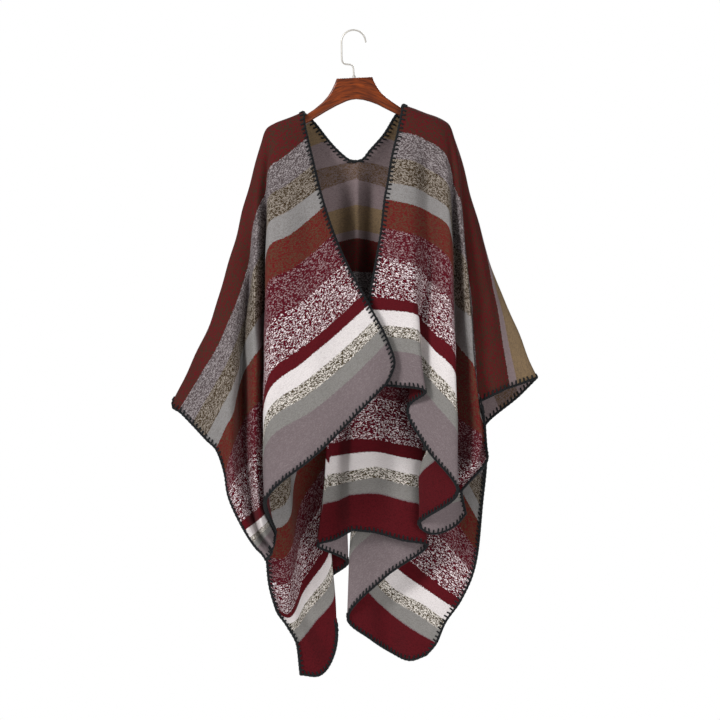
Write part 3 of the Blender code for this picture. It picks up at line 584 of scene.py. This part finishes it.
# --------------------------------------------------------------- stitches ---
def edge_runs():
    """Every stitched edge as four lines of cloth, the edge first: (points, normals)."""
    def hem(grid, norm, order):
        return np.array([grid[i] for i in order]), np.array([norm[i] for i in order])

    def side(grid, norm, order):
        return np.array([grid[:, i] for i in order]), np.array([norm[:, i] for i in order])

    first, last, outer = (0, 1, 2, 3), (-1, -2, -3, -4), (-1, -2, -3, -4)
    edges = [hem(grid_l, norm_l, first), hem(grid_r, norm_r, first),
             side(grid_l, norm_l, outer), side(grid_r, norm_r, outer)]
    hem_l, hem_r = hem(grid_l, norm_l, last), hem(grid_r, norm_r, last)
    edges.append(tuple(np.concatenate([u[:, ::-1], v[:, 1:]], axis=1) for u, v in zip(hem_l, hem_r)))
    lip_l, lip_r = side(grid_l, norm_l, first), side(grid_r, norm_r, first)
    lips = []
    for u, v, source in ((lip_l[0], lip_r[0], grid_l), (lip_l[1], lip_r[1], norm_l)):
        below = np.array([source[SLIT_ROW + i, 0] for i in first])[:, None]
        lips.append(np.concatenate([u[:, :SLIT_ROW], below, v[:, :SLIT_ROW][:, ::-1]], axis=1))
    edges.append(tuple(lips))
    return edges


def cloth_at(points, normals, distance):
    """Points and normals on the cloth at one distance in from the edge."""
    seg = np.linalg.norm(np.diff(points, axis=0), axis=2)
    reach = np.concatenate([np.zeros((1, points.shape[1])), np.cumsum(seg, axis=0)])
    out_p, out_n = [], []
    for i in range(points.shape[1]):
        out_p.append([np.interp(distance, reach[:, i], points[:, i, k]) for k in range(3)])
        out_n.append([np.interp(distance, reach[:, i], normals[:, i, k]) for k in range(3)])
    return np.array(out_p), unit(np.array(out_n))


def tube(path, radius, sides, verts, faces, hints, taper=None):
    """Round tube along path, closed by flat caps; hints give a side direction."""
    base = len(verts)
    n = len(path)
    for i in range(n):
        t = path[min(i + 1, n - 1)] - path[max(i - 1, 0)]
        t = t / max(np.linalg.norm(t), 1e-9)
        a = hints[i] - t * np.dot(hints[i], t)
        a = a / max(np.linalg.norm(a), 1e-9)
        b = np.cross(t, a)
        r = radius * (taper[i] if taper is not None else 1.0)
        for k in range(sides):
            w = 2 * math.pi * k / sides
            verts.append(path[i] + a * (r * math.cos(w)) + b * (r * math.sin(w)))
    for i in range(n - 1):
        for k in range(sides):
            k2 = (k + 1) % sides
            faces.append((base + i * sides + k, base + i * sides + k2, base + (i + 1) * sides + k2, base + (i + 1) * sides + k))
    faces.append(tuple(base + k for k in reversed(range(sides))))
    faces.append(tuple(base + (n - 1) * sides + k for k in range(sides)))


def resample(points, others, pitch):
    seg = np.linalg.norm(np.diff(points, axis=0), axis=1)
    s = np.concatenate([[0], np.cumsum(seg)])
    count = max(2, int(round(s[-1] / pitch)))
    at = np.linspace(0, s[-1], count + 1)
    out = [np.stack([np.interp(at, s, a[:, k]) for k in range(3)], axis=1) for a in [points] + list(others)]
    return at, out


def unit(v):
    return v / np.maximum(np.linalg.norm(v, axis=-1, keepdims=True), 1e-9)


def build_stitches():
    """Cord along each edge and a stitch across it every TOOTH_PITCH."""
    cord_v, cord_f, tooth_v, tooth_f = [], [], [], []
    rng = np.random.default_rng(11)
    for points, normals in edge_runs():
        p, nrm = points[0], normals[0]
        _, (cp, cn) = resample(p, (nrm,), 0.0032)
        wob = 1.0 + 0.10 * np.sin(np.arange(len(cp)) * 2.05)
        tube(cp, YARN_R, 8, cord_v, cord_f, unit(cn), wob)
        half_p, half_n = cloth_at(points, normals, TOOTH_LEN * 0.5)
        full_p, full_n = cloth_at(points, normals, TOOTH_LEN)
        _, (tp, tn, hp, hn, ep, en) = resample(p, (nrm, half_p, half_n, full_p, full_n), TOOTH_PITCH)
        tn, hn, en = unit(tn), unit(hn), unit(en)
        along = unit(np.gradient(tp, axis=0))
        for i in range(len(tp)):
            d = unit(hp[i] - tp[i])
            reach = rng.uniform(0.7, 1.25)
            slant = along[i] * rng.uniform(-0.0012, 0.0012)
            end = hp[i] + (ep[i] - hp[i]) * reach + slant
            near = hp[i] + (ep[i] - hp[i]) * reach * 0.86 + slant
            lift = WALL / 2 + TOOTH_R * 0.55
            path = [end + en[i] * (WALL * 0.2),
                    near + en[i] * lift,
                    hp[i] + hn[i] * (lift + 0.0003),
                    tp[i] + d * 0.001 + tn[i] * (lift + 0.0006),
                    tp[i] - d * (YARN_R - 0.0009) + tn[i] * 0.0006,
                    tp[i] - d * (YARN_R - 0.0009) - tn[i] * 0.0006,
                    tp[i] + d * 0.001 - tn[i] * (lift + 0.0006),
                    hp[i] - hn[i] * (lift + 0.0003),
                    near - en[i] * lift,
                    end - en[i] * (WALL * 0.2)]
            tube(path, TOOTH_R, 6, tooth_v, tooth_f, [along[i]] * len(path))
    return new_object("edge_cord", cord_v, cord_f), new_object("edge_stitches", tooth_v, tooth_f)


# ----------------------------------------------------------------- hanger ---
WOOD_THICK = 0.012
TOP_RIGHT = [(372.4, 77.0), (374.3, 82.0), (377.8, 88), (381.6, 93.2), (387, 98), (394, 103.0), (402.3, 108.4), (420, 115.4), (436, 121.2), (446, 127.0)]
UNDER = [(446, 131.5), (430, 126.5), (412, 120.5), (397, 114.5), (385.4, 108.7), (377.5, 104.6), (370.1, 101.8), (363.0, 99.9), (356.3, 99.2),
         (351.5, 99.8), (347.1, 101), (336.5, 105.8), (325.7, 111.8), (311.9, 120.2), (296, 128.5), (280, 135.5), (270, 138.5)]
TOP_LEFT = [(270, 134.0), (280, 127.2), (290, 122.4), (304.5, 115.8), (314.0, 109.6), (322.7, 102.3), (328.0, 96.2), (331.8, 90), (334.6, 84.0), (336.7, 78.6)]


def build_wood():
    import bmesh
    bm = bmesh.new()
    outline = TOP_RIGHT + UNDER + TOP_LEFT
    ring = [bm.verts.new(Vector(place((r, d, 0))) - Vector((0, WOOD_THICK / 2, 0))) for r, d in outline]
    face = bm.faces.new(ring)
    back = bmesh.ops.extrude_face_region(bm, geom=[face])
    bmesh.ops.translate(bm, verts=[v for v in back["geom"] if isinstance(v, bmesh.types.BMVert)], vec=(0, WOOD_THICK, 0))
    bmesh.ops.recalc_face_normals(bm, faces=bm.faces[:])
    rims = [e for e in bm.edges if abs(e.verts[0].co.y - e.verts[1].co.y) < 1e-6]
    bmesh.ops.bevel(bm, geom=rims, offset=0.0042, segments=5, profile=0.5, affect='EDGES', clamp_overlap=True)
    mesh = bpy.data.meshes.new("hanger_bar")
    bm.to_mesh(mesh)
    bm.free()
    mesh.shade_smooth()
    mesh.set_sharp_from_angle(angle=math.radians(40))
    obj = bpy.data.objects.new("hanger_bar", mesh)
    bpy.context.collection.objects.link(obj)
    return obj


def build_hook():
    foot = [(354.0, 77.2), (353.6, 71.5), (353.0, 67.0), (351.2, 64.9), (348.0, 64.4), (344.8, 63.9), (342.6, 62.0),
            (341.8, 58.5), (341.6, 52.0), (341.5, 45.0)]
    centre, radius = (353.5, 42.0), 12.0
    arc = [(centre[0] - radius * math.cos(math.radians(a)), centre[1] - radius * math.sin(math.radians(a)))
           for a in range(5, 171, 15)]
    pts = [place((r, d, 0)) for r, d in foot + arc + [(365.8, 42.5)]]
    # a smooth curve through the route
    fine = []
    for i in range(len(pts) - 1):
        p0, p1, p2, p3 = pts[max(i - 1, 0)], pts[i], pts[i + 1], pts[min(i + 2, len(pts) - 1)]
        for j in range(6):
            t = j / 6
            fine.append(0.5 * ((2 * p1) + (p2 - p0) * t + (2 * p0 - 5 * p1 + 4 * p2 - p3) * t * t + (3 * p1 - p0 - 3 * p2 + p3) * t ** 3))
    fine.append(pts[-1])
    verts, faces = [], []
    taper = [1.0] * (len(fine) - 2) + [0.9, 0.55]
    tube(fine, 0.00175, 14, verts, faces, [np.array([0, 1.0, 0])] * len(fine), taper)
    # collar round the shank where it enters the wood
    collar = [place((354.0 + 0.03 * k, d, 0)) for k, d in enumerate((77.2, 76.6, 76.2, 75.6, 75.0))]
    tube(collar, 0.0031, 18, verts, faces, [np.array([0, 1.0, 0])] * 5, [1.25, 1.25, 1.0, 0.95, 0.7])
    return new_object("hanger_wire", verts, faces)


# ------------------------------------------------------------ camera, light -
def build_stage():
    cam_data = bpy.data.cameras.new("camera")
    cam = bpy.data.objects.new("camera", cam_data)
    bpy.context.collection.objects.link(cam)
    distance, picture = 6.0, 720 * UNIT
    cam_data.sensor_width = 36.0
    cam_data.lens = 36.0 * distance / picture
    cam.location = ((360 - HOOK_X) * UNIT, -distance, (HOOK_Z - 360) * UNIT)
    cam.rotation_euler = (math.radians(90), 0, 0)
    bpy.context.scene.camera = cam

    floor_v = [(1.2 * math.cos(a), 1.2 * math.sin(a), -1.78) for a in np.linspace(0, 2 * math.pi, 64, endpoint=False)]
    floor = new_object("floor", floor_v, [tuple(range(64))], smooth=False)
    n = Nodes("pale_floor")
    coord = n.add("ShaderNodeTexCoord")
    n.link(n.mix(n.noise(coord.outputs["Object"], 3.0), lin((238, 238, 238)), lin((244, 244, 244))), n.bsdf.inputs["Base Color"])
    n.bsdf.inputs["Roughness"].default_value = 0.8
    floor.data.materials.append(n.mat)

    def area(name, where, aim, size, power):
        data = bpy.data.lights.new(name, 'AREA')
        data.shape = 'RECTANGLE'
        data.size, data.size_y = size
        data.energy = power
        obj = bpy.data.objects.new(name, data)
        bpy.context.collection.objects.link(obj)
        obj.location = where
        obj.rotation_euler = (Vector(aim) - Vector(where)).to_track_quat('-Z', 'Y').to_euler()
        return obj

    area("key", (-2.7, -2.5, 1.3), (0, 0, -0.6), (1.2, 1.4), 132)
    area("fill", (1.9, -3.0, -1.3), (0, 0, -0.8), (2.0, 1.8), 56)
    area("rear", (0.9, 3.2, 1.4), (0, 0, -0.6), (2.0, 2.0), 95)

    world = bpy.data.worlds.new("studio")
    bpy.context.scene.world = world
    world.use_nodes = True
    tree = world.node_tree
    tree.nodes.clear()
    out = tree.nodes.new("ShaderNodeOutputWorld")
    seen, lit = tree.nodes.new("ShaderNodeBackground"), tree.nodes.new("ShaderNodeBackground")
    seen.inputs[0].default_value = (1, 1, 1, 1)
    seen.inputs[1].default_value = 1.0
    lit.inputs[0].default_value = (1, 1, 1, 1)
    lit.inputs[1].default_value = 0.27
    path, mix = tree.nodes.new("ShaderNodeLightPath"), tree.nodes.new("ShaderNodeMixShader")
    tree.links.new(path.outputs["Is Camera Ray"], mix.inputs[0])
    tree.links.new(lit.outputs[0], mix.inputs[1])
    tree.links.new(seen.outputs[0], mix.inputs[2])
    tree.links.new(mix.outputs[0], out.inputs[0])
    bpy.context.scene.view_settings.view_transform = 'Standard'


build_stage()
cloth = build_cloth()
cloth.data.materials.append(cloth_material())
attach(cloth, "root")
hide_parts("front_left", "front_right", "back_left", "back_right")
cord, stitches = build_stitches()
yarn = yarn_material()
for piece in (cord, stitches):
    piece.data.materials.append(yarn)
    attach(piece, "root")

bar = build_wood()
bar.data.materials.append(wood_material())
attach(bar, "root")
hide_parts("hanger_wood")
hook = build_hook()
hook.data.materials.append(wire_material())
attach(hook, "root")
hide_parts("hanger_hook")

bpy.context.view_layer.update()
